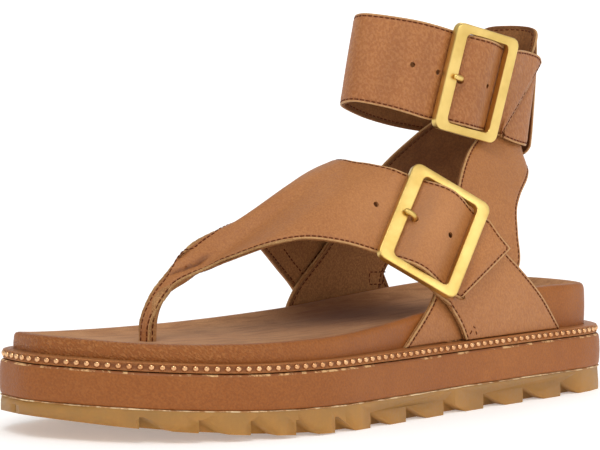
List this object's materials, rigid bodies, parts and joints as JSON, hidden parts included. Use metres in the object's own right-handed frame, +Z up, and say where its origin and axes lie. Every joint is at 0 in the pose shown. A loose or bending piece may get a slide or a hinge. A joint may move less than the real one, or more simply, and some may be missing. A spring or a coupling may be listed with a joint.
{
  "type": "t-strap platform sandal",
  "caption": "Left platform t-strap sandal: toe post, wide buckled instep band and ankle band, lugged gum sole.",
  "frame": {"origin": "middle of the whole shoe seen from above, on the floor under the sole", "axes": "-Y towards the toe, +Y towards the heel, +X towards the outer side of the foot, +Z up"},
  "size_m": [0.0982, 0.267, 0.1488],
  "materials": {
    "upper_leather": "smooth tan leather, two plies, stitched near the edges",
    "wrap_leather": "smooth brown leather wrapped over a foam core",
    "welt_leather": "smooth leather strip",
    "gum_rubber": "satin gum rubber",
    "satin_brass": "satin gold plated"
  },
  "bodies": {
    "root": {"outsole": "gum_rubber", "midsole": "wrap_leather", "welt": "welt_leather", "footbed": "wrap_leather", "upper": "upper_leather", "ankle_band": "upper_leather", "heel_loop": "upper_leather", "instep_buckle": "satin_brass", "ankle_buckle": "satin_brass", "instep_prong": "satin_brass", "ankle_prong": "satin_brass"}
  },
  "joints": []
}
